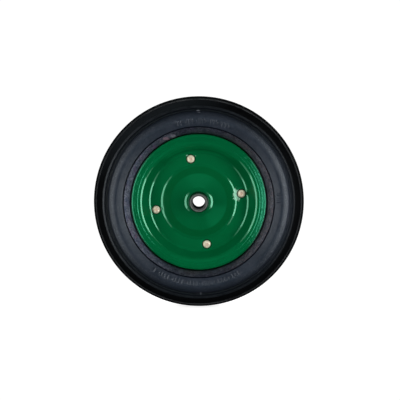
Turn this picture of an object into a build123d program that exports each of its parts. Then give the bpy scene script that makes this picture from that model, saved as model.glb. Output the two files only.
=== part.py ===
from build123d import *
import math
import os

os.makedirs("parts", exist_ok=True)

# ---------------------------------------------------------------------------
# Wheelbarrow wheel, 370 mm over the tread: two pressed steel discs riveted
# back to back on a welded hub tube, gripping a semi-pneumatic rubber tyre.
#
# Frame: millimetres, +Z up, the wheel turns about +Y, origin at its centre.
# The front face looks along -Y.
# Sections are drawn on the XY plane with x = radius and y = place along the
# axle, and are turned about the Y axis.
# ---------------------------------------------------------------------------

# --- tyre ------------------------------------------------------------------
TYRE_RADIUS = 185.0          # over the centre rib
CROWN_ARC_RADIUS = 52.0      # the tread's curve across its width
TREAD_HALF_WIDTH = 41.5      # where the tread ends in the shoulder ridge
BEAD_RADIUS = 118.65         # inner edge of the bead band, beside the rim's lip
FOOT_RADIUS = 93.5           # bottom of the foot that sits in the rim channel
CORE_RADIUS = 145.0          # centre of the sealed air core
CORE_RADIAL_HALF = 30.0
CORE_AXIAL_HALF = 33.0
# tread grooves: place along the axle, width, depth
TREAD_GROOVES = [(11.2, 3.6, 3.4), (28.2, 3.6, 2.4)]
# the rest of one side's section as (radius, distance from the mid plane)
SHOULDER = [                 # shoulder ridge, then the groove beside the sidewall
    (163.2, 42.15), (161.4, 42.95), (160.7, 42.75), (159.4, 39.6), (158.6, 38.5), (157.0, 38.2), (156.0, 38.6),
    (155.2, 39.4), (154.6, 40.3),
]
SIDEWALL = [                 # bulged sidewall, inwards
    (154.6, 40.3), (153.9, 41.25), (152.9, 42.0), (151.0, 42.85), (149.0, 43.65), (147.0, 44.35), (145.2, 44.85),
    (143.6, 45.15), (142.0, 45.25), (140.4, 45.05), (138.8, 44.5), (136.6, 43.58), (134.2, 42.53), (131.8, 41.45),
    (129.6, 40.4),
]
MOULD_LINE = [               # fine notch between sidewall and bead band
    (129.6, 40.4), (129.2, 39.6), (128.8, 39.0), (128.3, 39.0), (127.7, 39.7),
]
BEAD_BAND = [(127.7, 39.7), (125.6, 38.0), (123.4, 36.0), (121.4, 33.8)]
FOOT = [                     # bead edge, then the foot between the two discs
    (121.4, 33.8), (120.2, 32.1), (119.3, 30.4), (118.8, 28.8), (BEAD_RADIUS, 27.5), (BEAD_RADIUS, 24.1),
    (118.1, 23.2), (117.1, 22.7), (113.0, 23.0), (110.4, 23.6), (107.8, 23.6), (105.8, 23.1), (102.8, 22.7),
    (101.2, 21.7), (100.2, 20.5), (98.9, 18.1), (93.9, 8.2), (FOOT_RADIUS, 7.2), (FOOT_RADIUS, 0.0),
]

# --- pressed steel discs ---------------------------------------------------
SHEET = 2.0
# outer face of one disc, from the collar to the rolled lip: radius, height
# above the wheel's mid plane, bend radius at that corner
DISC_FACE = [
    (17.9, 24.0, 0.0),       # end of the collar on the tube
    (17.9, 13.3, 1.5),       # collar into the neck
    (21.5, 10.6, 8.0),
    (25.4, 9.0, 5.0),        # neck into the shallow dome
    (49.7, 6.92, 8.0),       # dome's shoulder
    (64.2, 3.17, 6.0),
    (66.9, 2.0, 2.5),        # foot of the dome, start of the riveted flat
    (84.8, 2.0, 3.0),        # end of the riveted flat
    (88.2, 3.73, 3.0),
    (98.0, 23.0, 3.0),       # top of the channel wall
    (101.4, 24.77, 3.0),
    (105.2, 25.24, 1.6),     # small step in the flange
    (106.6, 25.97, 2.6),
    (108.6, 26.39, 3.0),
    (113.2, 28.34, 2.5),     # rolled lip
    (117.4, 26.94, 2.4),
    (117.4, 23.9, 0.0),
]

# --- hub -------------------------------------------------------------------
HUB_LENGTH = 100.0
TUBE_OUTER_RADIUS = 15.9     # 31.8 mm tube
TUBE_INNER_RADIUS = 12.4
TUBE_CHAMFER = 0.6
BUSH_BORE_RADIUS = 11.0      # for the barrow's 22 mm axle
BUSH_LENGTH = 25.0
BUSH_RECESS = 0.5            # each bush's outer face sits just inside the tube
BUSH_CHAMFER = 0.4

# --- rivets ----------------------------------------------------------------
RIVET_COUNT = 4
RIVET_CIRCLE_RADIUS = 76.5
RIVET_FIRST_ANGLE = 100.7    # from +X towards +Z
RIVET_SHANK_RADIUS = 4.0
RIVET_HEAD_RADIUS = 6.9
RIVET_HEAD_HEIGHT = 3.4
RIVET_HEAD_FLAT = 2.6        # radius of the small flat on top of the head
RIVET_TAIL_RADIUS = 6.6
RIVET_TAIL_HEIGHT = 2.8


# --- the tyre ---------------------------------------------------------------
CROWN_CENTRE = TYRE_RADIUS - CROWN_ARC_RADIUS


def crown_radius(y):
    return CROWN_CENTRE + math.sqrt(CROWN_ARC_RADIUS ** 2 - y ** 2)


with BuildPart() as tyre:
    with BuildSketch(Plane.XY) as tyre_section:
        with BuildLine():
            for side in (1, -1):
                ThreePointArc(
                    (TYRE_RADIUS, 0.0),
                    (crown_radius(22.0), side * 22.0),
                    (crown_radius(TREAD_HALF_WIDTH), side * TREAD_HALF_WIDTH),
                )
                Polyline(
                    (crown_radius(TREAD_HALF_WIDTH), side * TREAD_HALF_WIDTH),
                    *[(r, side * y) for r, y in SHOULDER],
                )
                Spline(*[(r, side * y) for r, y in SIDEWALL])
                Polyline(*[(r, side * y) for r, y in MOULD_LINE])
                Spline(*[(r, side * y) for r, y in BEAD_BAND])
                Polyline(*[(r, side * y) for r, y in FOOT])
        make_face()
        # tread grooves, square to the crown's curve
        for groove_y, groove_width, groove_depth in TREAD_GROOVES:
            lean = math.degrees(math.asin(groove_y / CROWN_ARC_RADIUS))
            for side in (1, -1):
                with Locations(Location((crown_radius(groove_y), side * groove_y, 0), (0, 0, side * lean))):
                    Rectangle(2 * groove_depth, groove_width, mode=Mode.SUBTRACT)
        # sealed air core
        with Locations((CORE_RADIUS, 0)):
            Ellipse(CORE_RADIAL_HALF, CORE_AXIAL_HALF, mode=Mode.SUBTRACT)
    revolve(axis=Axis.Y, revolution_arc=360)

# --- the two discs ------------------------------------------------------------
with BuildPart() as rim_disc_front:
    with BuildSketch(Plane.XY) as front_section:
        with BuildLine():
            FilletPolyline(
                *[(r, -y) for r, y, _ in DISC_FACE],
                radius=[bend for _, _, bend in DISC_FACE[1:-1]],
            )
            offset(amount=SHEET, side=Side.LEFT)
        make_face()
    revolve(axis=Axis.Y, revolution_arc=360)
    with BuildSketch(Plane.XZ) as front_rivet_holes:
        with PolarLocations(RIVET_CIRCLE_RADIUS, RIVET_COUNT, start_angle=RIVET_FIRST_ANGLE):
            Circle(RIVET_SHANK_RADIUS)
    extrude(amount=5, both=True, mode=Mode.SUBTRACT)

with BuildPart() as rim_disc_rear:
    with BuildSketch(Plane.XY) as rear_section:
        with BuildLine():
            FilletPolyline(
                *[(r, y) for r, y, _ in DISC_FACE],
                radius=[bend for _, _, bend in DISC_FACE[1:-1]],
            )
            offset(amount=SHEET, side=Side.RIGHT)
        make_face()
    revolve(axis=Axis.Y, revolution_arc=360)
    with BuildSketch(Plane.XZ) as rear_rivet_holes:
        with PolarLocations(RIVET_CIRCLE_RADIUS, RIVET_COUNT, start_angle=RIVET_FIRST_ANGLE):
            Circle(RIVET_SHANK_RADIUS)
    extrude(amount=5, both=True, mode=Mode.SUBTRACT)

# --- the hub tube, welded into both collars -----------------------------------
with BuildPart() as hub_tube:
    with BuildSketch(Plane.XZ) as tube_ring:
        Circle(TUBE_OUTER_RADIUS)
        Circle(TUBE_INNER_RADIUS, mode=Mode.SUBTRACT)
    extrude(amount=HUB_LENGTH / 2, both=True)
    tube_rims = (
        hub_tube.edges()
        .filter_by(GeomType.CIRCLE)
        .filter_by(lambda e: abs(e.radius - TUBE_OUTER_RADIUS) < 0.01)
    )
    chamfer(tube_rims, length=TUBE_CHAMFER)

# --- one plain bush in each end of the tube ------------------------------------
BUSH_OUTER_FACE = HUB_LENGTH / 2 - BUSH_RECESS

with BuildPart() as bush_front:
    with BuildSketch(Plane.XZ.offset(BUSH_OUTER_FACE)) as front_bush_ring:
        Circle(TUBE_INNER_RADIUS)
        Circle(BUSH_BORE_RADIUS, mode=Mode.SUBTRACT)
    extrude(amount=-BUSH_LENGTH)
    front_mouths = (
        bush_front.edges()
        .filter_by(GeomType.CIRCLE)
        .filter_by(lambda e: abs(e.radius - BUSH_BORE_RADIUS) < 0.01)
    )
    chamfer(front_mouths, length=BUSH_CHAMFER)

with BuildPart() as bush_rear:
    with BuildSketch(Plane.XZ.offset(-BUSH_OUTER_FACE)) as rear_bush_ring:
        Circle(TUBE_INNER_RADIUS)
        Circle(BUSH_BORE_RADIUS, mode=Mode.SUBTRACT)
    extrude(amount=BUSH_LENGTH)
    rear_mouths = (
        bush_rear.edges()
        .filter_by(GeomType.CIRCLE)
        .filter_by(lambda e: abs(e.radius - BUSH_BORE_RADIUS) < 0.01)
    )
    chamfer(rear_mouths, length=BUSH_CHAMFER)

# --- four rivets through the flat of both discs ----------------------------------
# one rivet about its own axis: factory head in front, closed tail behind
with BuildPart() as one_rivet:
    with BuildSketch(Plane.XZ) as rivet_section:
        with BuildLine():
            Polyline(
                (0, -SHEET - RIVET_TAIL_HEIGHT),
                (RIVET_TAIL_RADIUS - 2.2, -SHEET - RIVET_TAIL_HEIGHT),
            )
            ThreePointArc(
                (RIVET_TAIL_RADIUS - 2.2, -SHEET - RIVET_TAIL_HEIGHT),
                (RIVET_TAIL_RADIUS - 0.6, -SHEET - RIVET_TAIL_HEIGHT + 0.9),
                (RIVET_TAIL_RADIUS, -SHEET),
            )
            Polyline(
                (RIVET_TAIL_RADIUS, -SHEET),
                (RIVET_SHANK_RADIUS, -SHEET),
                (RIVET_SHANK_RADIUS, SHEET),
                (RIVET_HEAD_RADIUS, SHEET),
                (RIVET_HEAD_RADIUS, SHEET + 0.7),
            )
            ThreePointArc(
                (RIVET_HEAD_RADIUS, SHEET + 0.7),
                (RIVET_HEAD_RADIUS - 1.3, SHEET + 2.15),
                (RIVET_HEAD_FLAT, SHEET + RIVET_HEAD_HEIGHT),
            )
            Polyline(
                (RIVET_HEAD_FLAT, SHEET + RIVET_HEAD_HEIGHT),
                (0, SHEET + RIVET_HEAD_HEIGHT),
                (0, -SHEET - RIVET_TAIL_HEIGHT),
            )
        make_face()
    revolve(axis=Axis.Z, revolution_arc=360)

with BuildPart(Plane.XZ) as rivets:
    with PolarLocations(RIVET_CIRCLE_RADIUS, RIVET_COUNT, start_angle=RIVET_FIRST_ANGLE):
        add(one_rivet.part)

# --- labels and files ------------------------------------------------------------
tyre.part.label = "tyre"
export_step(tyre.part, "parts/tyre.step")

rim_disc_front.part.label = "rim_disc_front"
export_step(rim_disc_front.part, "parts/rim_disc_front.step")

rim_disc_rear.part.label = "rim_disc_rear"
export_step(rim_disc_rear.part, "parts/rim_disc_rear.step")

hub_tube.part.label = "hub_tube"
export_step(hub_tube.part, "parts/hub_tube.step")

bush_front.part.label = "bush_front"
export_step(bush_front.part, "parts/bush_front.step")

bush_rear.part.label = "bush_rear"
export_step(bush_rear.part, "parts/bush_rear.step")

rivets.part.label = "rivets"
export_step(rivets.part, "parts/rivets.step")

for piece in (tyre, rim_disc_front, rim_disc_rear, hub_tube, bush_front, bush_rear, rivets):
    print(piece.part.label, len(piece.part.solids()), "solids,", round(piece.part.volume, 1), "mm3")
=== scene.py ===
import math

import bmesh
import bpy
import numpy as np
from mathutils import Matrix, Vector


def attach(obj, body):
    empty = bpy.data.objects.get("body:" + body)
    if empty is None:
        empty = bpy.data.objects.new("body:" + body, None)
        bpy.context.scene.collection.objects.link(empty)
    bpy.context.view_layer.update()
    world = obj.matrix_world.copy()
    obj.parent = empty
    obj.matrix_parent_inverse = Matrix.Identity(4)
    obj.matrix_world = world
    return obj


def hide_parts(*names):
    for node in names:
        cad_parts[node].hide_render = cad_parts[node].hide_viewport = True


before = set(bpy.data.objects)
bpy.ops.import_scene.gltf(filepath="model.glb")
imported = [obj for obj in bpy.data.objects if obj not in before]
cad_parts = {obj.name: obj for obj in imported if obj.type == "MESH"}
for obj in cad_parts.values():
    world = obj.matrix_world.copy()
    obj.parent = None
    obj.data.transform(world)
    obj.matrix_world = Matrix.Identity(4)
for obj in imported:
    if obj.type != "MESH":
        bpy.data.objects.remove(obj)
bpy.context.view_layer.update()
scene = bpy.context.scene
MM = 0.001


# ---------------------------------------------------------------------------
# helpers
# ---------------------------------------------------------------------------
def fillet_path(corners, step=0.12):
    """Points along a polyline whose corners are rounded. corners: (r, a, bend radius). step: radians of turn between points."""
    pts = []
    n = len(corners)
    for i, (x, y, bend) in enumerate(corners):
        p = np.array((x, y), float)
        if bend <= 0 or i in (0, n - 1):
            pts.append(p)
            continue
        a = np.array(corners[i - 1][:2], float)
        b = np.array(corners[i + 1][:2], float)
        u = (a - p) / np.linalg.norm(a - p)
        v = (b - p) / np.linalg.norm(b - p)
        cosang = float(np.clip(u @ v, -1, 1))
        inner = math.acos(cosang)
        turn = math.pi - inner
        reach = bend * math.tan(turn / 2)
        start, end = p + u * reach, p + v * reach
        centre = p + (u + v) / np.linalg.norm(u + v) * bend / math.sin(inner / 2)
        k = max(2, int(math.ceil(turn / step)))
        a0 = math.atan2(*(start - centre)[::-1])
        a1 = math.atan2(*(end - centre)[::-1])
        d = (a1 - a0 + math.pi) % (2 * math.pi) - math.pi
        for t in range(k + 1):
            ang = a0 + d * t / k
            pts.append(centre + bend * np.array((math.cos(ang), math.sin(ang))))
    return np.array(pts)


def thin_out(pts, longest):
    """Adds points so that no step of the path is longer than longest."""
    out = [pts[0]]
    for q in pts[1:]:
        p = out[-1]
        d = float(np.linalg.norm(q - p))
        if d < 1e-6:
            continue
        k = max(1, int(math.ceil(d / longest)))
        for t in range(1, k + 1):
            out.append(p + (q - p) * t / k)
    return np.array(out)


def path_normals(pts):
    """Unit normals on the left of an open path."""
    t = np.gradient(pts, axis=0)
    t /= np.linalg.norm(t, axis=1)[:, None]
    return np.stack((-t[:, 1], t[:, 0]), axis=1)


def lathe(name, loop, angles, shape=None, close=True):
    """A ring mesh: loop is a closed section of (r, y) in millimetres, turned through angles about +Y.
    shape(r, y, angle) returns moved (r, y) arrays for one column. The angle runs from +X towards +Z."""
    loop = np.asarray(loop, float)
    m, n = len(loop), len(angles)
    verts = np.zeros((n, m, 3))
    for i, ang in enumerate(angles):
        r, y = loop[:, 0].copy(), loop[:, 1].copy()
        if shape is not None:
            r, y = shape(r, y, ang)
        verts[i, :, 0] = r * math.cos(ang)
        verts[i, :, 1] = y
        verts[i, :, 2] = r * math.sin(ang)
    verts = verts.reshape(-1, 3) * MM
    i = np.arange(n)[:, None]
    j = np.arange(m)[None, :]
    i2, j2 = (i + 1) % n, (j + 1) % m
    quads = np.stack((i * m + j, i2 * m + j, i2 * m + j2, i * m + j2), axis=-1).reshape(-1, 4)
    mesh = bpy.data.meshes.new(name)
    mesh.from_pydata(verts.tolist(), [], quads.tolist())
    mesh.update()
    outward_and_smooth(mesh)
    obj = bpy.data.objects.new(name, mesh)
    scene.collection.objects.link(obj)
    return obj


def outward_and_smooth(mesh):
    bm = bmesh.new()
    bm.from_mesh(mesh)
    bmesh.ops.recalc_face_normals(bm, faces=bm.faces)
    if bm.calc_volume(signed=True) < 0:
        bmesh.ops.reverse_faces(bm, faces=bm.faces)
    bm.to_mesh(mesh)
    bm.free()
    mesh.polygons.foreach_set("use_smooth", [True] * len(mesh.polygons))
    mesh.update()


def columns(step, extra, apart):
    """Angles in degrees round the wheel: those in extra, and even ones step apart that keep clear of them."""
    extra = np.unique(np.round(np.mod(np.asarray(extra, float), 360.0), 4))
    even = np.arange(0.0, 360.0, step)
    gap = np.abs((even[:, None] - extra[None, :] + 180.0) % 360.0 - 180.0).min(axis=1)
    return np.radians(np.sort(np.concatenate((extra, even[gap > apart]))))


def every_other(pts):
    """Half of the points of a path, with both its ends."""
    return pts if len(pts) < 5 else np.concatenate((pts[:-1:2], pts[-1:]))


def ramp01(x, lo, hi):
    t = np.clip((np.asarray(x, float) - lo) / (hi - lo), 0, 1)
    return t * t * (3 - 2 * t)


def place(obj, node, material):
    """Every piece rides on the one body, stands for its CAD node and has its slot."""
    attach(obj, "root")
    if node:
        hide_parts(node)
    obj.data.materials.clear()
    obj.data.materials.append(material)


# ---------------------------------------------------------------------------
# material helpers
# ---------------------------------------------------------------------------
class Nodes:
    def __init__(self, name):
        self.mat = bpy.data.materials.new(name)
        self.mat.use_nodes = True
        self.nt = self.mat.node_tree
        self.bsdf = self.nt.nodes["Principled BSDF"]

    def new(self, kind, **props):
        n = self.nt.nodes.new(kind)
        for k, v in props.items():
            setattr(n, k, v)
        return n

    def link(self, a, b):
        self.nt.links.new(a, b)

    def value(self, v):
        """A number, or the socket given."""
        return v

    def math(self, op, a, b=None, c=None, clamp=False):
        n = self.new("ShaderNodeMath", operation=op)
        n.use_clamp = clamp
        for s, v in zip(n.inputs, (a, b, c)):
            if v is None:
                continue
            if isinstance(v, (int, float)):
                s.default_value = v
            else:
                self.link(v, s)
        return n.outputs[0]

    def object_coords(self):
        if not hasattr(self, "_obj"):
            self._obj = self.new("ShaderNodeTexCoord").outputs["Object"]
        return self._obj

    def polar(self):
        """Radius about the axle (m), place along it, and the angle about it as two smooth numbers."""
        if not hasattr(self, "_polar"):
            sep = self.new("ShaderNodeSeparateXYZ")
            self.link(self.object_coords(), sep.inputs[0])
            x, y, z = sep.outputs
            r = self.math("SQRT", self.math("ADD", self.math("MULTIPLY", x, x), self.math("MULTIPLY", z, z)))
            self._polar = (r, y, x, z)
        return self._polar

    def scaled(self, sx, sy, sz):
        n = self.new("ShaderNodeMapping")
        n.inputs["Scale"].default_value = (sx, sy, sz)
        self.link(self.object_coords(), n.inputs["Vector"])
        return n.outputs[0]

    def ring_coords(self, along, across, axial):
        """Coordinates that follow the wheel round: angle x along, radius x across, axle x axial."""
        r, y, x, z = self.polar()
        ang = self.math("ARCTAN2", z, x)
        c = self.new("ShaderNodeCombineXYZ")
        # the angle as a circle, so that nothing breaks where it starts again
        self.link(self.math("MULTIPLY", self.math("COSINE", ang), along), c.inputs[0])
        self.link(self.math("MULTIPLY", self.math("SINE", ang), along), c.inputs[1])
        self.link(
            self.math("ADD", self.math("MULTIPLY", r, across), self.math("MULTIPLY", y, axial)),
            c.inputs[2],
        )
        return c.outputs[0]

    def noise(self, vector, scale, detail=3.0, rough=0.55, distortion=0.0, out="Fac"):
        n = self.new("ShaderNodeTexNoise")
        n.inputs["Scale"].default_value = scale
        n.inputs["Detail"].default_value = detail
        n.inputs["Roughness"].default_value = rough
        n.inputs["Distortion"].default_value = distortion
        self.link(vector, n.inputs["Vector"])
        return n.outputs[out]

    def ramp(self, fac, stops, interpolation="LINEAR"):
        n = self.new("ShaderNodeValToRGB")
        n.color_ramp.interpolation = interpolation
        while len(n.color_ramp.elements) < len(stops):
            n.color_ramp.elements.new(0.5)
        for e, (pos, col) in zip(n.color_ramp.elements, stops):
            e.position = pos
            e.color = (*col, 1) if len(col) == 3 else col
        self.link(fac, n.inputs[0])
        return n.outputs["Color"]

    def band(self, v, lo, hi, soft):
        """1 where lo < v < hi, with soft edges."""
        a = self.new("ShaderNodeMapRange", interpolation_type="SMOOTHSTEP")
        self.link(v, a.inputs["Value"])
        a.inputs["From Min"].default_value = lo - soft
        a.inputs["From Max"].default_value = lo + soft
        b = self.new("ShaderNodeMapRange", interpolation_type="SMOOTHSTEP")
        self.link(v, b.inputs["Value"])
        b.inputs["From Min"].default_value = hi - soft
        b.inputs["From Max"].default_value = hi + soft
        b.inputs["To Min"].default_value = 1
        b.inputs["To Max"].default_value = 0
        return self.math("MULTIPLY", a.outputs[0], b.outputs[0])

    def mix(self, fac, a, b, blend="MIX"):
        n = self.new("ShaderNodeMix", data_type="RGBA", blend_type=blend)
        for s, v in ((n.inputs[0], fac), (n.inputs[6], a), (n.inputs[7], b)):
            if isinstance(v, (int, float)):
                s.default_value = v
            elif isinstance(v, tuple):
                s.default_value = (*v, 1) if len(v) == 3 else v
            else:
                self.link(v, s)
        return n.outputs[2]

    def scale_colour(self, colour, factor):
        """A colour times a number."""
        node = self.new("ShaderNodeVectorMath", operation="SCALE")
        self.link(colour, node.inputs[0])
        self.link(factor, node.inputs["Scale"])
        return node.outputs[0]

    def range(self, v, lo, hi, to_lo, to_hi):
        n = self.new("ShaderNodeMapRange")
        self.link(v, n.inputs["Value"])
        n.inputs["From Min"].default_value = lo
        n.inputs["From Max"].default_value = hi
        n.inputs["To Min"].default_value = to_lo
        n.inputs["To Max"].default_value = to_hi
        return n.outputs[0]

    def bump(self, height, distance, strength=1.0, normal=None):
        n = self.new("ShaderNodeBump")
        n.inputs["Strength"].default_value = strength
        n.inputs["Distance"].default_value = distance
        self.link(height, n.inputs["Height"])
        if normal is not None:
            self.link(normal, n.inputs["Normal"])
        return n.outputs[0]

    def set(self, **values):
        for k, v in values.items():
            s = self.bsdf.inputs[k.replace("_", " ")]
            if isinstance(v, (int, float)):
                s.default_value = v
            elif isinstance(v, tuple):
                s.default_value = (*v, 1) if len(v) == 3 else v
            else:
                self.link(v, s)


# ---------------------------------------------------------------------------
# materials
# ---------------------------------------------------------------------------
def rubber_material():
    """Sidewall, bead band and foot: bluish matt rubber with a faint bloom."""
    m = Nodes("tyre_rubber")
    r, y, x, z = m.polar()
    obj = m.object_coords()
    cloud = m.noise(obj, 16, 4, 0.6)
    grain = m.noise(obj, 420, 3, 0.6)
    streak = m.noise(m.ring_coords(3.0, 260, 0), 1.0, 3, 0.5)
    smear = m.noise(m.ring_coords(7.0, 70, 0), 1.0, 4, 0.6)
    base = m.ramp(cloud, [(0.32, (0.0125, 0.0182, 0.0295)), (0.68, (0.0200, 0.0275, 0.0420))])
    base = m.mix(m.range(streak, 0.35, 0.75, 0.0, 0.30), base, (0.026, 0.032, 0.046))
    base = m.mix(m.range(smear, 0.52, 0.80, 0.0, 0.40), base, (0.055, 0.060, 0.074))
    patch = m.noise(obj, 62, 3, 0.65, 0.6)
    base = m.mix(m.range(patch, 0.52, 0.66, 0.0, 0.45), base, (0.030, 0.034, 0.050))
    base = m.mix(m.range(patch, 0.46, 0.34, 0.0, 0.40), base, (0.0095, 0.0135, 0.0240))
    mottle = m.noise(obj, 260, 3, 0.7)
    base = m.mix(m.range(mottle, 0.52, 0.66, 0.0, 0.35), base, (0.034, 0.040, 0.054))
    base = m.mix(m.range(mottle, 0.46, 0.34, 0.0, 0.40), base, (0.0085, 0.0120, 0.0200))
    # the sidewall is darker towards the shoulder, and the groove there is painted dark as shade; both are eased on the
    # right, painted light where the right lamp falls
    eased_on_lit_right = m.range(x, 0.085, 0.150, 1.0, 0.30)
    shoulder_dark = m.math("MULTIPLY", m.range(r, 0.1440, 0.1515, 0.0, 0.68), eased_on_lit_right)
    base = m.mix(shoulder_dark, base, (0.004, 0.0062, 0.0100))
    # pale specks along the sidewall's outer edge, strongest at the two sides: partly scuff marks, partly painted
    # highlight where the side lamps catch the edge
    nick = m.noise(obj, 390, 3, 0.7)
    scuff_and_glint = m.math("MULTIPLY", m.band(r, 0.1462, 0.1512, 0.0012), m.range(nick, 0.53, 0.64, 0.0, 0.55))
    scuff_and_glint = m.math("MULTIPLY", scuff_and_glint, m.range(m.math("ABSOLUTE", x), 0.05, 0.12, 0.15, 1.0))
    base = m.mix(scuff_and_glint, base, (0.085, 0.098, 0.120))
    ridge = m.band(r, 0.1603, 0.1650, 0.0006)
    scraped = m.noise(m.ring_coords(9.0, 60, 0), 1.0, 4, 0.7)
    ridge_col = m.ramp(scraped, [(0.35, (0.0020, 0.0028, 0.0040)), (0.65, (0.0110, 0.0130, 0.0160))])
    ridge_col = m.mix(m.range(x, 0.02, 0.12, 0.0, 0.75), ridge_col, (0.0016, 0.0022, 0.0032))
    base = m.mix(m.math("MULTIPLY", ridge, 0.9), base, ridge_col)
    # painted shade: the groove between the tread and the sidewall is painted dark, less so on the right
    groove_shade = m.band(r, 0.1552, 0.1603, 0.0007)
    base = m.mix(m.math("MULTIPLY", m.math("MULTIPLY", groove_shade, 0.85), eased_on_lit_right), base, (0.0015, 0.0025, 0.0040))
    # painted shade: the mould line's groove is painted near black, in a wider band on the left
    mould = m.band(r, 0.1274, 0.1299, 0.0004)
    base = m.mix(m.math("MULTIPLY", mould, 0.97), base, (0.0012, 0.0024, 0.0060))
    wide = m.math("MULTIPLY", m.band(r, 0.1268, 0.1304, 0.0005), m.range(x, -0.11, -0.04, 0.70, 0.0))
    base = m.mix(wide, base, (0.0012, 0.0024, 0.0060))
    # dusty, slightly brown and purple band next to the rim
    bead = m.band(r, 0.1190, 0.1278, 0.0005)
    blotch_f = m.noise(obj, 120, 4, 0.75)
    bead_col = m.ramp(
        m.noise(m.ring_coords(2.2, 30, 0), 1.3, 4, 0.65),
        [(0.30, (0.022, 0.022, 0.044)), (0.5, (0.023, 0.029, 0.044)), (0.7, (0.040, 0.032, 0.036))],
    )
    # purplish towards the left, brownish towards the right
    bead_col = m.mix(m.range(x, -0.12, -0.03, 0.75, 0.0), bead_col, (0.022, 0.028, 0.050))
    bead_col = m.mix(m.range(x, 0.03, 0.10, 0.0, 0.45), bead_col, (0.036, 0.032, 0.036))
    speck = m.noise(obj, 330, 3, 0.75)
    purple = m.noise(m.ring_coords(5.0, 40, 0), 1.7, 3, 0.6)
    bead_col = m.mix(m.math("MULTIPLY", m.range(purple, 0.56, 0.64, 0.0, 0.6), m.range(x, -0.10, 0.02, 1.0, 0.25)), bead_col, (0.040, 0.026, 0.052))
    bead_col = m.mix(m.range(blotch_f, 0.44, 0.66, 0.0, 0.80), bead_col, (0.072, 0.078, 0.096))
    bead_col = m.mix(m.range(speck, 0.50, 0.60, 0.0, 0.75), bead_col, (0.005, 0.006, 0.010))
    bead_col = m.mix(m.range(speck, 0.40, 0.32, 0.0, 0.55), bead_col, (0.120, 0.125, 0.150))
    rusty = m.math("MULTIPLY", m.range(m.noise(obj, 300, 3, 0.75), 0.52, 0.62, 0.0, 0.75), m.range(x, 0.02, 0.08, 0.0, 1.0))
    bead_col = m.mix(rusty, bead_col, (0.076, 0.056, 0.058))
    # painted light: the band is painted brighter at the two sides, where the side lamps fall, than at the top and the
    # bottom
    side_lit = m.math("ADD", m.range(x, -0.125, -0.045, 2.3, 0.75), m.range(x, 0.060, 0.125, 0.0, 0.85))
    bead_col = m.scale_colour(bead_col, side_lit)
    base = m.mix(bead, base, bead_col)
    # a torn pale sliver of moulding flash and purple stains, front face, upper left
    front = m.math("LESS_THAN", y, 0.0)

    def stain(cx, cz, half_x, half_z, hard):
        u = m.math("DIVIDE", m.math("SUBTRACT", x, cx), half_x)
        v = m.math("DIVIDE", m.math("SUBTRACT", z, cz), half_z)
        d = m.math("SQRT", m.math("ADD", m.math("MULTIPLY", u, u), m.math("MULTIPLY", v, v)))
        d = m.math("ADD", d, m.math("MULTIPLY", m.math("SUBTRACT", speck, 0.5), 1.8))
        return m.math("MULTIPLY", m.range(d, 0.75, 1.1, hard, 0.0), front)

    base = m.mix(stain(-0.0500, 0.1128, 0.0060, 0.0026, 0.6), base, (0.085, 0.085, 0.115))
    base = m.mix(stain(-0.0555, 0.1088, 0.0058, 0.0028, 0.75), base, (0.20, 0.13, 0.17))
    base = m.mix(stain(-0.0428, 0.1132, 0.0046, 0.0032, 0.7), base, (0.20, 0.20, 0.24))
    base = m.mix(stain(-0.0752, 0.0945, 0.0036, 0.0034, 0.7), base, (0.085, 0.045, 0.105))
    base = m.mix(stain(-0.0885, 0.0786, 0.0028, 0.0030, 0.6), base, (0.075, 0.042, 0.100))
    base = m.mix(stain(-0.1090, 0.0560, 0.0020, 0.0060, 0.5), base, (0.080, 0.045, 0.100))
    base = m.mix(stain(-0.1078, -0.0580, 0.0013, 0.0034, 0.6), base, (0.090, 0.022, 0.060))
    base = m.mix(stain(-0.1192, -0.0368, 0.0028, 0.0056, 0.6), base, (0.125, 0.130, 0.150))
    # short pale nicks at the shoulder, top and bottom
    base = m.mix(stain(-0.0005, 0.1565, 0.0030, 0.0009, 0.8), base, (0.14, 0.15, 0.17))
    base = m.mix(stain(0.0005, 0.1530, 0.0022, 0.0008, 0.7), base, (0.10, 0.11, 0.13))
    base = m.mix(stain(0.0036, -0.1560, 0.0012, 0.0030, 0.7), base, (0.10, 0.11, 0.13))
    # painted shade: the rubber down in the gap beside the lip is painted black, less so at the two sides, where the
    # side lamps reach
    sides = m.range(m.math("ABSOLUTE", x), 0.075, 0.105, 0.0, 1.0)
    gap_shade = m.math("MULTIPLY", m.range(r, 0.1186, 0.1196, 1.0, 0.0), m.range(sides, 0.0, 1.0, 1.0, 0.35))
    base = m.mix(gap_shade, base, (0.003, 0.003, 0.004))
    m.set(Base_Color=base)
    m.set(Roughness=m.range(grain, 0.3, 0.7, 0.38, 0.48))
    matt = m.math("MAXIMUM", m.math("MULTIPLY", ridge, m.range(x, 0.07, 0.15, 0.0, 1.0)), m.math("MULTIPLY", mould, 0.9))
    m.set(Specular_IOR_Level=m.range(matt, 0.0, 1.0, 0.42, 0.14))
    m.bsdf.inputs["Specular Tint"].default_value = (0.88, 0.95, 1.0, 1)
    fine = m.bump(grain, 0.00012, 0.5)
    ripple = m.bump(streak, 0.00025, 0.35, fine)
    dents = m.bump(m.math("MULTIPLY", m.math("ADD", blotch_f, m.math("MULTIPLY", speck, 0.5)), bead), 0.0014, 0.8, ripple)
    m.set(Normal=dents)
    return m.mat


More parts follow.
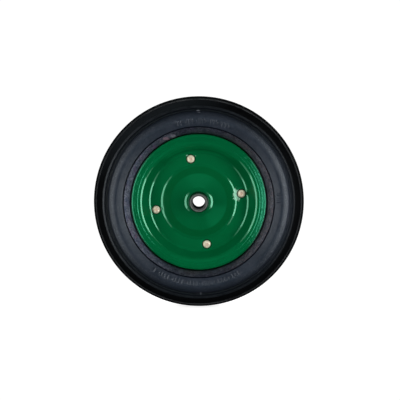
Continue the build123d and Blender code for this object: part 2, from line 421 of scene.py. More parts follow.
def tread_material():
    """Tread: plain black rubber, with the ribs' edges a little greyed by wear, and painted light towards the top left.
    """
    m = Nodes("tyre_tread")
    r, y, x, z = m.polar()
    obj = m.object_coords()
    cloud = m.noise(obj, 16, 4, 0.6)
    grain = m.noise(obj, 380, 3, 0.6)
    base = m.ramp(cloud, [(0.3, (0.0008, 0.0011, 0.0015)), (0.7, (0.0018, 0.0022, 0.0028))])
    # painted light: the tread is painted lighter towards the top left, where light from above falls
    lit_top_left = m.math("ADD", m.math("MULTIPLY", x, -0.5), m.math("MULTIPLY", z, 0.87))
    base = m.mix(m.range(lit_top_left, 0.115, 0.165, 0.0, 1.0), base, (0.0085, 0.0110, 0.0130))
    away = m.math("ABSOLUTE", y)
    # the crown is greyed by wear, most in the middle
    scuffed = m.noise(m.ring_coords(14.0, 0, 160), 1.0, 4, 0.7)
    crown = m.math("MULTIPLY", m.range(away, 0.0078, 0.0092, 1.0, 0.0), m.range(scuffed, 0.30, 0.65, 0.45, 1.0))
    base = m.mix(crown, base, (0.017, 0.018, 0.019))
    rib = m.math("MULTIPLY", m.band(away, 0.0130, 0.0264, 0.0006), m.range(scuffed, 0.35, 0.65, 0.15, 0.9))
    base = m.mix(rib, base, (0.0052, 0.0056, 0.0060))
    edge = m.band(away, 0.0258, 0.0266, 0.0003)
    worn = m.noise(m.ring_coords(5.0, 0, 20), 1.0, 4, 0.65)
    base = m.mix(m.math("MULTIPLY", edge, m.range(worn, 0.3, 0.6, 0.35, 1.0)), base, (0.055, 0.058, 0.062))
    m.set(Base_Color=base)
    m.set(Roughness=m.range(grain, 0.3, 0.7, 0.62, 0.78))
    m.bsdf.inputs["Specular IOR Level"].default_value = 0.06
    m.set(Normal=m.bump(grain, 0.00015, 0.5))
    return m.mat


def enamel_material():
    m = Nodes("rim_enamel")
    r, y, x, z = m.polar()
    obj = m.object_coords()
    cloud = m.noise(obj, 22, 3, 0.5)
    fine = m.noise(obj, 130, 2, 0.5)
    base = m.ramp(cloud, [(0.3, (0.0003, 0.108, 0.032)), (0.7, (0.0006, 0.120, 0.037))])
    # painted shade: the dome's slope is painted darker, standing in for its shade
    ring = m.band(r, 0.0497, 0.0618, 0.0012)
    base = m.mix(m.math("MULTIPLY", ring, 0.85), base, (0.0003, 0.090, 0.024))
    # painted highlight: the lip's slope is painted paler on the right, where the right lamp catches it
    pale = m.math("MULTIPLY", m.band(r, 0.1082, 0.1160, 0.0006), m.range(x, 0.086, 0.106, 0.0, 1.0))
    base = m.mix(m.math("MULTIPLY", pale, m.range(fine, 0.35, 0.65, 0.55, 1.0)), base, (0.008, 0.180, 0.080))
    # painted highlight: the lip's edge is painted pale at the two sides, where the side lamps catch it
    lip_edge_glint = m.math("MULTIPLY", m.band(r, 0.1154, 0.1182, 0.0005), m.range(m.math("ABSOLUTE", x), 0.080, 0.106, 0.0, 0.75))
    base = m.mix(lip_edge_glint, base, (0.075, 0.165, 0.125))
    # painted shade: a dark ring on the collar's end, round the tube
    collar_shade = m.range(r, 0.0179, 0.0190, 0.85, 0.0)
    base = m.mix(collar_shade, base, (0.0006, 0.016, 0.007))
    # painted light: the foot of the channel wall is painted faintly lighter at the two sides, where the side lamps fall
    foot = m.math("MULTIPLY", m.band(r, 0.0905, 0.0955, 0.0020), m.range(m.math("ABSOLUTE", z), 0.008, 0.016, 1.0, 0.0))
    base = m.mix(m.math("MULTIPLY", foot, m.range(fine, 0.3, 0.7, 0.1, 0.35)), base, (0.006, 0.17, 0.065))
    # a thin dark line round each head
    gap = None
    for ang in (100.7, 190.7, 280.7, 10.7):
        a = math.radians(ang)
        d = m.math(
            "SQRT",
            m.math(
                "ADD",
                m.math("POWER", m.math("SUBTRACT", x, 0.0765 * math.cos(a)), 2.0),
                m.math("POWER", m.math("SUBTRACT", z, 0.0765 * math.sin(a)), 2.0),
            ),
        )
        gap = d if gap is None else m.math("MINIMUM", gap, d)
    # painted highlights: pale mint green patches beside two of the rivets, front face only
    ragged = m.noise(obj, 620, 3, 0.7)
    lobes = m.noise(obj, 240, 2, 0.5)
    front = m.math("LESS_THAN", y, 0.0)

    def blot(cx, cz, half_x, half_z, slant, hard):
        mid = m.math("ADD", m.math("MULTIPLY", m.math("SUBTRACT", z, cz), slant), cx)
        u = m.math("DIVIDE", m.math("SUBTRACT", x, mid), half_x)
        v = m.math("DIVIDE", m.math("SUBTRACT", z, cz), half_z)
        d = m.math("SQRT", m.math("ADD", m.math("MULTIPLY", u, u), m.math("POWER", m.math("ABSOLUTE", v), 4.0)))
        d = m.math("ADD", d, m.math("MULTIPLY", m.math("SUBTRACT", ragged, 0.5), 1.6))
        d = m.math("ADD", d, m.math("MULTIPLY", m.math("SUBTRACT", lobes, 0.5), 2.2))
        return m.math("MULTIPLY", m.range(d, 0.85, 1.05, hard, 0.0), front)

    near = m.math(
        "SQRT",
        m.math(
            "ADD",
            m.math("POWER", m.math("SUBTRACT", x, 0.0752), 2.0),
            m.math("POWER", m.math("SUBTRACT", z, 0.0142), 2.0),
        ),
    )
    clear = m.range(near, 0.0074, 0.0079, 0.0, 1.0)
    glint_patch = m.math("MULTIPLY", blot(0.0662, 0.0130, 0.0054, 0.0113, -0.10, 0.92), clear)
    glint_patch = m.math("MAXIMUM", glint_patch, blot(-0.0212, 0.0812, 0.0016, 0.0011, 0.0, 0.7))
    glint_patch = m.math("MAXIMUM", glint_patch, blot(-0.0056, 0.0806, 0.0013, 0.0010, 0.0, 0.6))
    glint_patch.node.use_clamp = True
    glint_colour = m.ramp(ragged, [(0.40, (0.20, 0.50, 0.34)), (0.58, (0.40, 0.66, 0.50))])
    base = m.mix(glint_patch, base, glint_colour)
    # painted shadow beside the right rivet, in the foot of the channel wall
    rivet_shadow = m.math(
        "SQRT",
        m.math(
            "ADD",
            m.math("POWER", m.math("DIVIDE", m.math("SUBTRACT", x, 0.0850), 0.0030), 2.0),
            m.math("POWER", m.math("DIVIDE", m.math("SUBTRACT", z, 0.0150), 0.0036), 2.0),
        ),
    )
    rivet_shadow = m.math("MULTIPLY", m.range(rivet_shadow, 0.7, 1.15, 1.0, 0.0), front)
    base = m.mix(m.math("MULTIPLY", rivet_shadow, 0.8), base, (0.0010, 0.040, 0.012))
    base = m.mix(m.range(gap, 0.0078, 0.0088, 0.92, 0.0), base, (0.003, 0.010, 0.005))
    # brighter on both sides of the dark line at the top of the channel wall
    line = m.range(m.band(r, 0.0908, 0.0928, 0.0008), 0.0, 1.0, 1.0, 0.1)
    top = m.math("MULTIPLY", m.band(r, 0.0872, 0.0985, 0.0012), m.range(z, 0.070, 0.080, 0.0, 1.0))
    top = m.math("MULTIPLY", m.math("MULTIPLY", top, line), m.range(glint_patch, 0.0, 0.2, 1.0, 0.0))
    base = m.mix(m.math("MULTIPLY", top, m.range(gap, 0.0078, 0.0088, 0.0, 0.8)), base, (0.0008, 0.165, 0.050))
    m.set(Base_Color=base)
    rough = m.range(fine, 0.3, 0.7, 0.06, 0.10)
    # the coat is thin and dull on the straight part of the channel wall
    wall = m.band(r, 0.0898, 0.0968, 0.0007)
    rough = m.math("ADD", rough, m.math("MULTIPLY", wall, 0.08))
    m.set(Roughness=m.math("ADD", rough, m.math("MULTIPLY", glint_patch, 0.3)))
    # and it mirrors nothing above and below, where the rivets would show in it
    foot = m.math("MULTIPLY", m.band(r, 0.0858, 0.0968, 0.0007), m.range(m.math("ABSOLUTE", x), 0.030, 0.046, 1.0, 0.0))
    dull = m.math("MAXIMUM", m.math("MULTIPLY", wall, 0.97), m.math("MULTIPLY", rivet_shadow, 0.95))
    dull = m.math("MAXIMUM", dull, foot)
    m.set(Specular_IOR_Level=m.range(dull, 0.0, 1.0, 0.9, 0.0))
    outer = m.range(r, 0.1014, 0.1024, 0.0, 1.0)
    m.set(Specular_Tint=m.mix(outer, (0.36, 1.0, 0.68), (0.16, 1.0, 0.62)))
    peel = m.noise(obj, 260, 2, 0.5)
    smooth = m.bump(peel, 0.00005, 0.30, m.bump(cloud, 0.0006, 0.22))
    # the rolled flange is slightly rippled by the press
    flange = m.band(r, 0.1030, 0.1165, 0.0015)
    ripple = m.noise(m.ring_coords(52, 150, 0), 1.0, 2, 0.5)
    m.set(Normal=m.bump(m.math("MULTIPLY", ripple, flange), 0.00045, 0.9, smooth))
    return m.mat


def steel_material():
    m = Nodes("hub_steel")
    obj = m.object_coords()
    r, y, x, z = m.polar()
    stain = m.noise(obj, 160, 4, 0.6)
    saw = m.noise(m.scaled(900, 900, 60), 1.0, 2, 0.5)
    base = m.ramp(stain, [(0.3, (0.085, 0.090, 0.085)), (0.7, (0.17, 0.18, 0.17))])
    rim = m.range(r, 0.0134, 0.0142, 0.0, 0.75)
    base = m.mix(rim, base, (0.20, 0.22, 0.205))
    joint = m.range(r, 0.01262, 0.01290, 0.85, 0.0)
    base = m.mix(joint, base, (0.020, 0.020, 0.019))
    # the enamel runs over the tube's outside and its chamfer, on to the edge of its faced end; it is painted much
    # darker than the rim's enamel, as painted shade
    enamel_and_shade = m.range(r, 0.01480, 0.01515, 0.0, 1.0)
    base = m.mix(enamel_and_shade, base, (0.0006, 0.022, 0.009))
    m.set(Base_Color=base)
    m.set(Metallic=m.math("MULTIPLY", m.math("SUBTRACT", 1.0, enamel_and_shade), 0.5))
    m.set(Roughness=m.range(saw, 0.3, 0.7, 0.35, 0.55))
    m.set(Normal=m.bump(saw, 0.00008, 0.4))
    return m.mat


def nylon_material():
    m = Nodes("bush_nylon")
    obj = m.object_coords()
    cloud = m.noise(obj, 240, 3, 0.6)
    base = m.ramp(cloud, [(0.3, (0.060, 0.064, 0.060)), (0.7, (0.092, 0.098, 0.092))])
    m.set(Base_Color=base)
    m.set(Roughness=m.range(cloud, 0.3, 0.7, 0.42, 0.58))
    m.set(Normal=m.bump(cloud, 0.00005, 0.4))
    return m.mat


def rivet_material():
    m = Nodes("rivet_plated_steel")
    obj = m.object_coords()
    spot = m.noise(obj, 520, 3, 0.6)
    cloud = m.noise(obj, 190, 2, 0.5)
    head = m.new("ShaderNodeAttribute", attribute_name="head_r").outputs["Fac"]
    base = m.ramp(
        head,
        [
            (0.0, (0.80, 0.54, 0.38)),
            (0.42, (0.86, 0.62, 0.45)),
            (0.62, (0.98, 0.92, 0.68)),
            (0.86, (0.92, 0.84, 0.58)),
            (1.0, (0.40, 0.36, 0.22)),
        ],
    )
    base = m.mix(m.range(cloud, 0.35, 0.7, 0.0, 0.45), base, (1.0, 0.97, 0.84))
    base = m.mix(m.range(spot, 0.50, 0.66, 0.0, 0.55), base, (0.36, 0.22, 0.14))
    m.set(Base_Color=base, Metallic=0.25)
    m.set(Roughness=m.range(spot, 0.3, 0.7, 0.32, 0.5))
    m.set(Normal=m.bump(spot, 0.0002, 0.5))
    return m.mat


# ---------------------------------------------------------------------------
# the discs
# ---------------------------------------------------------------------------
RIVET_CIRCLE = 76.5
RIVET_ANGLES = [math.radians(100.7 + 90 * k) for k in range(4)]
SHEET = 2.0
DISC_FACE = [
    (17.9, 24.0, 0.0),
    (17.9, 13.3, 1.5),
    (21.5, 10.6, 8.0),
    (25.4, 9.0, 5.0),
    (49.7, 6.92, 8.0),
    (64.2, 3.17, 6.0),
    (66.9, 2.0, 2.5),
    (84.8, 2.0, 3.0),
    (88.2, 3.73, 3.0),
    (98.0, 23.0, 3.0),
    (101.4, 24.77, 3.0),
    (105.2, 25.24, 1.6),
    (106.6, 25.97, 2.6),
    (108.6, 26.39, 3.0),
    (113.2, 28.34, 2.5),
    (117.4, 26.94, 2.4),
    (117.4, 23.9, 0.0),
]


def disc_loop():
    face = thin_out(fillet_path(DISC_FACE, 0.10), 1.9)
    n = path_normals(face)
    # the outer face is the side towards larger height: the back face lies one sheet behind it
    back = face - n * SHEET
    # n is on the left of the path, which runs outwards, so it points up and out of the dish
    return face, back


def near_rivet(r, ang, k):
    """Distance in millimetres, in the disc's plane, from rivet k."""
    cx, cz = RIVET_CIRCLE * math.cos(RIVET_ANGLES[k]), RIVET_CIRCLE * math.sin(RIVET_ANGLES[k])
    return np.hypot(r * math.cos(ang) - cx, r * math.sin(ang) - cz)


def make_disc(name, front):
    face, back = disc_loop()
    k = len(face)
    loop = np.concatenate((face, every_other(back)[::-1]))
    sign = -1.0 if front else 1.0
    # more columns beside the rivets
    angles = columns(1.2, [math.degrees(a) + d for a in RIVET_ANGLES for d in np.arange(-10.8, 10.9, 0.6)], 0.55)

    def shape(r, h, ang):
        h = h.copy()
        move = np.zeros_like(h)
        for q in range(4):
            d = near_rivet(r, ang, q)
            # the sheet's outer face is pressed in a little round each head
            move -= 0.35 * np.exp(-((d - 8.0) / 3.0) ** 2)
        return r, sign * (h + move * np.clip(h / SHEET, 0, 1))

    obj = lathe(name, loop, angles, shape)
    return obj


# ---------------------------------------------------------------------------
# the tyre
# ---------------------------------------------------------------------------
CROWN_ARC = 52.0
TYRE_R = 185.0


def crown(a):
    return TYRE_R - CROWN_ARC + math.sqrt(CROWN_ARC ** 2 - a ** 2)


def smooth_curve(points, longest):
    """A smooth curve through the points given (Catmull-Rom), with no step longer than longest."""
    p = np.array(points, float)
    p = np.vstack((2 * p[0] - p[1], p, 2 * p[-1] - p[-2]))
    out = [p[1]]
    for i in range(1, len(p) - 2):
        p0, p1, p2, p3 = p[i - 1], p[i], p[i + 1], p[i + 2]
        k = max(1, int(math.ceil(float(np.linalg.norm(p2 - p1)) / longest)))
        for t in np.linspace(0, 1, k + 1)[1:]:
            out.append(
                0.5 * ((2 * p1) + (-p0 + p2) * t + (2 * p0 - 5 * p1 + 4 * p2 - p3) * t ** 2 + (-p0 + 3 * p1 - 3 * p2 + p3) * t ** 3)
            )
    return np.array(out)


SIDEWALL = [
    (154.6, 40.3), (153.9, 41.25), (152.9, 42.0), (151.0, 42.85), (149.0, 43.65), (147.0, 44.35), (145.2, 44.85),
    (143.6, 45.15), (142.0, 45.25), (140.4, 45.05), (138.8, 44.5), (136.6, 43.58), (134.2, 42.53), (131.8, 41.45),
    (129.6, 40.4),
]
BEAD_BAND = [(127.7, 39.7), (125.6, 38.0), (123.4, 36.0), (121.4, 33.8)]


def tyre_half():
    """One side's section from the crown's middle to the foot's middle: (r, a)."""
    c = [(TYRE_R, 0.0, 0)]
    for a in (2.0, 4.0, 6.0, 8.0):
        c.append((crown(a), a, 0))

    def groove(a0, width, depth):
        lean = math.asin(a0 / CROWN_ARC)
        nr, na = math.cos(lean), math.sin(lean)
        tr, ta = -math.sin(lean), math.cos(lean)
        w = width / 2
        out = []
        for s, dd in ((-w, 0.0), (-w + 0.25, depth), (w - 0.25, depth), (w, 0.0)):
            aa = a0 + s * ta
            base_r = crown(a0 + s * ta) if dd == 0.0 else crown(a0) + s * tr
            out.append((base_r - dd * nr, aa - dd * na, 0.45))
        return out

    c += groove(11.2, 3.6, 3.4)
    for a in (14.5, 17.0, 20.0, 23.0, 25.2):
        c.append((crown(a), a, 0))
    c += groove(28.2, 3.6, 2.4)
    for a in (31.0, 33.0, 35.0, 37.0, 38.5):
        c.append((crown(a), a, 0))
    c += [
        (crown(40.0), 40.0, 0),
        (crown(41.5), 41.5, 0.5),
        (163.2, 42.15, 0.6),     # shoulder ridge
        (161.4, 42.95, 0.4),
        (160.7, 42.75, 0.5),
        (159.4, 39.6, 0.6),      # groove between tread and sidewall
        (158.6, 38.5, 0.6),
        (157.0, 38.2, 0.6),
        (156.0, 38.6, 0.6),
        (155.2, 39.4, 0.6),
    ]
    path = fillet_path(c + [(154.6, 40.3, 0)], 0.35)[:-1]
    side = smooth_curve(SIDEWALL, 1.25)
    line = [(129.2, 39.6), (128.8, 39.0), (128.3, 39.0)]
    bead = smooth_curve(BEAD_BAND, 1.1)
    foot = [
        (120.2, 32.1), (119.3, 30.4), (118.8, 28.8), (118.65, 27.5), (118.65, 26.5), (118.65, 25.5), (118.65, 24.1), (118.1, 23.2),
        (117.1, 22.7), (113.0, 23.0), (110.4, 23.6), (107.8, 23.6), (105.8, 23.1), (102.8, 22.7), (101.2, 21.7), (100.2, 20.5),
        (98.9, 18.1), (93.9, 8.2), (93.5, 7.2), (93.5, 0.0),
    ]
    return np.concatenate((path, side, np.array(line), bead, np.array(foot)))


def rectangle_marks():
    """Plain raised marks on the sidewall: (angle clockwise from the top in degrees, half width in degrees, inner r, outer r, height)."""
    marks = []
    # a row of plain bars and squares at the top
    pattern = [
        (-15.5, 0.55, 134.0, 142.5), (-13.2, 0.55, 134.0, 142.5), (-10.6, 1.1, 136.0, 140.5),
        (-7.6, 0.55, 134.0, 142.5), (-5.2, 0.55, 134.0, 142.5), (-2.4, 1.1, 136.0, 140.5),
        (0.8, 0.55, 134.0, 142.5), (3.2, 0.55, 134.0, 142.5), (6.0, 1.1, 136.0, 140.5),
        (9.0, 0.55, 134.0, 142.5), (11.4, 0.55, 134.0, 142.5), (14.2, 1.1, 136.0, 140.5),
        (17.2, 0.55, 134.0, 142.5), (19.6, 0.55, 134.0, 142.5), (22.4, 1.1, 136.0, 140.5),
    ]
    for a, w, r0, r1 in pattern:
        marks.append((a, w, r0, r1, 0.36))
    # a longer row of small bars at the bottom
    a = 150.0
    k = 0
    while a < 214.0:
        r0, r1 = (134.0, 142.0) if k % 4 != 3 else (136.0, 140.0)
        marks.append((a, 0.5 if k % 4 != 3 else 1.0, r0, r1, 0.32))
        a += 2.4 if k % 4 != 3 else 3.4
        k += 1
    # three short steps at the right
    for a in (84.0, 86.6, 89.2):
        marks.append((a, 0.45, 133.5, 139.5, 0.32))
    return marks


def crown_start(r):
    """Half the width of the zone that belongs to the tread at radius r (mm); none inside the shoulder."""
    return 41.3 if r > 164.4 else -1.0


def make_tyre():
    half = tyre_half()
    marks = rectangle_marks()
    front = half * np.array((1.0, -1.0))
    rear = half[::-1][1:-1]
    # rows at the marks' edges, on the front side
    edges = sorted({e for _, _, r0, r1, _ in marks for e in (r0 - 0.35, r0, r1, r1 + 0.35)})
    rows = [tuple(p) for p in front]
    for e in edges:
        for i in range(len(rows) - 1):
            (ra, ya), (rb, yb) = rows[i], rows[i + 1]
            if rb < e < ra and ya < -38.0 and yb < -38.0:
                t = (ra - e) / (ra - rb)
                if min(ra - e, e - rb) > 0.12:
                    rows.insert(i + 1, (e, ya + (yb - ya) * t))
                break
    front = np.array(rows)
    loop = np.concatenate((front, every_other(rear)))
    angles = columns(1.35, [90.0 - (a + d) for a, w, r0, r1, hgt in marks for d in (-w - 0.14, -w, w, w + 0.14)], 0.30)
    rng = np.random.default_rng(7)
    # slow wander of the moulded surface
    phases = rng.uniform(0, 2 * math.pi, 6)

    def shape(r, y, ang):
        clock = math.degrees(math.pi / 2 - ang)
        r, y = r.copy(), y.copy()
        on_front = (y < -38.5) & (r < 155) & (r > 130.6)
        for a, w, r0, r1, hgt in marks:
            d = (clock - a + 180) % 360 - 180
            if abs(d) > w + 0.2:
                continue
            f = float(np.clip((w + 0.14 - abs(d)) / 0.14, 0, 1))
            g = np.clip((r - (r0 - 0.35)) / 0.35, 0, 1) * np.clip(((r1 + 0.35) - r) / 0.35, 0, 1)
            y = np.where(on_front, y - hgt * f * g, y)
        return r, y

    return lathe("tyre_body", loop, angles, shape)


# ---------------------------------------------------------------------------
# hub tube, bushes and rivets
# ---------------------------------------------------------------------------
def make_tube():
    loop = fillet_path(
        [
            (15.9, 0.0, 0), (15.9, -49.4, 0.25), (15.3, -50.0, 0.25), (12.7, -50.0, 0.2), (12.4, -49.7, 0.2),
            (12.4, 0.0, 0), (12.4, 49.7, 0.2), (12.7, 50.0, 0.2), (15.3, 50.0, 0.25), (15.9, 49.4, 0.25), (15.9, 0.02, 0),
        ],
        0.3,
    )[:-1]
    return lathe("hub_tube_body", thin_out(loop, 4.0), np.linspace(0, 2 * math.pi, 193)[:-1])


def make_bush(name, front):
    s = -1.0 if front else 1.0
    loop = fillet_path(
        [
            (12.4, s * 30, 0), (12.4, s * 49.3, 0.15), (12.2, s * 49.5, 0.1), (11.4, s * 49.5, 0.2), (11.0, s * 49.1, 0.2),
            (11.0, s * 24.9, 0.2), (11.4, s * 24.5, 0.2), (12.2, s * 24.5, 0.1), (12.4, s * 24.7, 0.1), (12.4, s * 29.9, 0),
        ],
        0.3,
    )
    return lathe(name, thin_out(loop, 3.0), np.linspace(0, 2 * math.pi, 161)[:-1])


def make_rivets():
    """Four rivets in one object: each a closed turned body with a lightly hammered head."""
    rng = np.random.default_rng(21)
    bm = bmesh.new()
    layer = bm.verts.layers.float.new("head_r")
    section = [
        (0.0, 5.05), (1.2, 5.08), (2.2, 5.2), (2.9, 5.3), (3.5, 5.22), (4.4, 4.85), (5.3, 4.25), (6.0, 3.6),
        (6.5, 3.05), (6.8, 2.6), (6.88, 2.2), (6.8, 2.02), (4.0, 2.02), (4.0, 0.0), (4.0, -2.02),
        (6.5, -2.02), (6.55, -2.3), (6.3, -3.1), (5.6, -3.9), (4.6, -4.55), (3.2, -4.78), (1.6, -4.8), (0.0, -4.8),
    ]
    steps = 40
    for ang in RIVET_ANGLES:
        cx, cz = RIVET_CIRCLE * math.cos(ang), RIVET_CIRCLE * math.sin(ang)
        wob = rng.uniform(-1, 1, 8)
        spin = rng.uniform(0, 2 * math.pi)
        rings = []
        for r, h in section:
            if r == 0.0:
                v = bm.verts.new(((cx) * MM, -h * MM, (cz) * MM))
                v[layer] = 0.0
                rings.append([v])
                continue
            ring = []
            for t in range(steps):
                th = 2 * math.pi * t / steps + spin
                rr = r
                hh = h
                if h > 2.1:
                    rr = min(6.9, r * (1 + 0.018 * wob[0] * math.cos(3 * th + wob[1] * 3) + 0.015 * wob[2] * math.cos(5 * th + wob[3] * 3)))
                    hh = min(5.38, h + 0.14 * math.cos(4 * th + wob[4] * 3) * math.exp(-((r - 4.2) / 1.5) ** 2))
                v = bm.verts.new(((cx + rr * math.cos(th)) * MM, -hh * MM, (cz + rr * math.sin(th)) * MM))
                v[layer] = r / 6.9
                ring.append(v)
            rings.append(ring)
        for a, b in zip(rings, rings[1:]):
            if len(a) == 1:
                for t in range(steps):
                    bm.faces.new((a[0], b[t], b[(t + 1) % steps]))
            elif len(b) == 1:
                for t in range(steps):
                    bm.faces.new((a[(t + 1) % steps], a[t], b[0]))
            else:
                for t in range(steps):
                    bm.faces.new((a[t], b[t], b[(t + 1) % steps], a[(t + 1) % steps]))
    bmesh.ops.recalc_face_normals(bm, faces=bm.faces)
    mesh = bpy.data.meshes.new("rivet_heads")
    bm.to_mesh(mesh)
    bm.free()
    mesh.polygons.foreach_set("use_smooth", [True] * len(mesh.polygons))
    mesh.update()
    obj = bpy.data.objects.new("rivet_heads", mesh)
    scene.collection.objects.link(obj)
    return obj


# ---------------------------------------------------------------------------
# the model
# ---------------------------------------------------------------------------
rubber = rubber_material()
tread = tread_material()
enamel = enamel_material()
steel = steel_material()
nylon = nylon_material()
plated = rivet_material()

tyre = make_tyre()
place(tyre, "tyre", rubber)
tyre.data.materials.append(tread)
for face in tyre.data.polygons:
    c = face.center
    if math.hypot(c.x, c.z) > 0.1 and abs(c.y) < crown_start(math.hypot(c.x, c.z) / MM) * MM:
        face.material_index = 1
disc_front = make_disc("disc_front_pressing", True)
place(disc_front, "rim_disc_front", enamel)
disc_rear = make_disc("disc_rear_pressing", False)
place(disc_rear, "rim_disc_rear", enamel)
tube = make_tube()
place(tube, "hub_tube", steel)
bush_front = make_bush("bush_front_body", True)
place(bush_front, "bush_front", nylon)
bush_rear = make_bush("bush_rear_body", False)
place(bush_rear, "bush_rear", nylon)
rivets = make_rivets()
place(rivets, "rivets", plated)

# ---------------------------------------------------------------------------
# stage, lights, camera
# ---------------------------------------------------------------------------
WHEEL_R = 0.185


def stage_floor():
    mesh = bpy.data.meshes.new("studio_floor")
    bm = bmesh.new()
    bmesh.ops.create_circle(bm, cap_ends=True, segments=96, radius=9.0)
    bm.to_mesh(mesh)
    bm.free()
    obj = bpy.data.objects.new("studio_floor", mesh)
    obj.location = (0, 0, -WHEEL_R - 0.0004)
    scene.collection.objects.link(obj)
    mat = bpy.data.materials.new("studio_floor_white")
    mat.use_nodes = True
    nt = mat.node_tree
    nt.nodes.clear()
    out = nt.nodes.new("ShaderNodeOutputMaterial")
    path = nt.nodes.new("ShaderNodeLightPath")
    mix = nt.nodes.new("ShaderNodeMixShader")
    dim = nt.nodes.new("ShaderNodeMixShader")
    soft = nt.nodes.new("ShaderNodeBsdfDiffuse")
    soft.inputs["Color"].default_value = (0.30, 0.30, 0.30, 1)
    dull = nt.nodes.new("ShaderNodeBsdfDiffuse")
    dull.inputs["Color"].default_value = (0.004, 0.004, 0.004, 1)
    nt.links.new(path.outputs["Is Glossy Ray"], dim.inputs[0])
    nt.links.new(soft.outputs[0], dim.inputs[1])
    nt.links.new(dull.outputs[0], dim.inputs[2])
    glow = nt.nodes.new("ShaderNodeEmission")
    glow.inputs["Strength"].default_value = 1.05
    near = nt.nodes.new("ShaderNodeEmission")
    near.inputs["Strength"].default_value = 0.80
    white = nt.nodes.new("ShaderNodeBsdfDiffuse")
    white.inputs["Color"].default_value = (0.8, 0.8, 0.8, 1)
    add = nt.nodes.new("ShaderNodeAddShader")
    nt.links.new(near.outputs[0], add.inputs[0])
    nt.links.new(white.outputs[0], add.inputs[1])
    coord = nt.nodes.new("ShaderNodeTexCoord")
    length = nt.nodes.new("ShaderNodeVectorMath")
    length.operation = "LENGTH"
    nt.links.new(coord.outputs["Object"], length.inputs[0])
    away = nt.nodes.new("ShaderNodeMapRange")
    away.interpolation_type = "SMOOTHSTEP"
    away.inputs["From Min"].default_value = 0.06
    away.inputs["From Max"].default_value = 0.40
    nt.links.new(length.outputs["Value"], away.inputs["Value"])
    spot = nt.nodes.new("ShaderNodeMixShader")
    nt.links.new(away.outputs[0], spot.inputs[0])
    nt.links.new(add.outputs[0], spot.inputs[1])
    nt.links.new(glow.outputs[0], spot.inputs[2])
    nt.links.new(path.outputs["Is Camera Ray"], mix.inputs[0])
    nt.links.new(dim.outputs[0], mix.inputs[1])
    nt.links.new(spot.outputs[0], mix.inputs[2])
    nt.links.new(mix.outputs[0], out.inputs["Surface"])
    mesh.materials.append(mat)
    # the lights beside the camera reach below the wheel, as they would past a small table
    obj.visible_glossy = False
    obj.visible_shadow = False
    return obj


stage_floor()

world = bpy.data.worlds.new("studio")
scene.world = world
world.use_nodes = True
wn = world.node_tree
wn.nodes.clear()
w_out = wn.nodes.new("ShaderNodeOutputWorld")
w_path = wn.nodes.new("ShaderNodeLightPath")
w_mix = wn.nodes.new("ShaderNodeMixShader")
w_dark = wn.nodes.new("ShaderNodeBackground")
w_dark.inputs["Color"].default_value = (0.5, 0.95, 1.0, 1)
w_dark.inputs["Strength"].default_value = 0.02
w_soft = wn.nodes.new("ShaderNodeBackground")
w_soft.inputs["Color"].default_value = (1, 1, 1, 1)
w_soft.inputs["Strength"].default_value = 0.28
w_white = wn.nodes.new("ShaderNodeBackground")
w_white.inputs["Color"].default_value = (1, 1, 1, 1)
w_white.inputs["Strength"].default_value = 1.05
w_kind = wn.nodes.new("ShaderNodeMixShader")
wn.links.new(w_path.outputs["Is Diffuse Ray"], w_kind.inputs[0])
wn.links.new(w_dark.outputs[0], w_kind.inputs[1])
wn.links.new(w_soft.outputs[0], w_kind.inputs[2])
wn.links.new(w_path.outputs["Is Camera Ray"], w_mix.inputs[0])
wn.links.new(w_kind.outputs[0], w_mix.inputs[1])
wn.links.new(w_white.outputs[0], w_mix.inputs[2])
wn.links.new(w_mix.outputs[0], w_out.inputs["Surface"])


def area_light(name, at, target, width, height, power, colour=(1, 1, 1)):
    data = bpy.data.lights.new(name, "AREA")
    data.shape = "RECTANGLE"
    data.size = width
    data.size_y = height
    data.energy = power
    data.color = colour
    obj = bpy.data.objects.new(name, data)
    obj.location = at
    d = Vector(target) - Vector(at)
    obj.rotation_euler = d.to_track_quat("-Z", "Y").to_euler()
    obj.visible_camera = False
    scene.collection.objects.link(obj)
    return obj


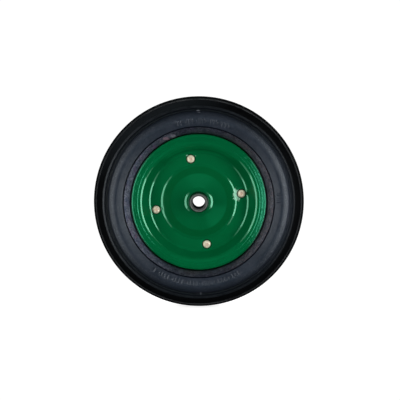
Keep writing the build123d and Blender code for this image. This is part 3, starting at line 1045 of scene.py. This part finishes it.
def strip(name, side, off_low, off_high, z, height, radiance, reach=1.7):
    """A tall soft strip beside the camera, facing the wheel: off_low and off_high are degrees off the axle's line."""
    mid = math.radians((off_low + off_high) / 2)
    half = math.radians((off_high - off_low) / 2)
    width = 2 * reach * math.tan(half)
    at = (side * reach * math.sin(mid), -reach * math.cos(mid), z)
    return area_light(name, at, (0, 0, z), width, height, radiance * math.pi * width * height)


strip("strip_right", 1, 41, 58, 0.06, 1.35, 5.6)
strip("strip_right_long", 1, 43, 57, 0.18, 2.45, 2.0)
strip("strip_left", -1, 36, 57, -0.04, 1.30, 3.5)
strip("strip_left_long", -1, 38, 56, -0.10, 2.1, 1.3)


def soft_patch(name, off, azimuth, size, radiance):
    """A faint panel that only mirrors: off the axle by off degrees, at azimuth degrees from the right, upwards."""
    a, b = math.radians(off), math.radians(azimuth)
    reach = 2.2
    at = (reach * math.sin(a) * math.cos(b), -reach * math.cos(a), reach * math.sin(a) * math.sin(b))
    obj = area_light(name, at, (0, 0, 0), size, size, radiance * math.pi * size * size, (0.12, 1.0, 0.62))
    obj.visible_diffuse = False
    return obj


soft_patch("soft_above", 16, 90, 0.55, 0.30)
soft_patch("soft_low_right", 16, -45, 0.50, 0.34)

fill = area_light("fill_front", (0.0, -3.4, 0.9), (0, 0, 0), 2.6, 2.2, 22)
fill.visible_glossy = False
back = area_light("fill_back", (0.0, 3.4, 1.2), (0, 0, 0), 2.6, 2.2, 95)
back.visible_glossy = False

DIST, ELEV = 1.111, math.radians(2.4)
cam_data = bpy.data.cameras.new("camera")
cam = bpy.data.objects.new("camera", cam_data)
scene.collection.objects.link(cam)
AZIM = math.radians(0.3)
cam.location = (DIST * math.cos(ELEV) * math.sin(AZIM), -DIST * math.cos(ELEV) * math.cos(AZIM), DIST * math.sin(ELEV))
look = -Vector(cam.location)
cam.rotation_euler = look.to_track_quat("-Z", "Y").to_euler()
cam_data.sensor_width = 36.0
cam_data.lens = 36.0 * 628.0 / 400.0
cam_data.shift_x = 1.18 / 400.0
cam_data.shift_y = 1.6 / 400.0
cam_data.clip_start = 0.01
cam_data.clip_end = 60
cam_data.dof.use_dof = False
scene.camera = cam

scene.view_settings.view_transform = "Standard"
scene.view_settings.look = "None"
scene.view_settings.exposure = 0.0
scene.view_settings.gamma = 1.0

bpy.context.view_layer.update()
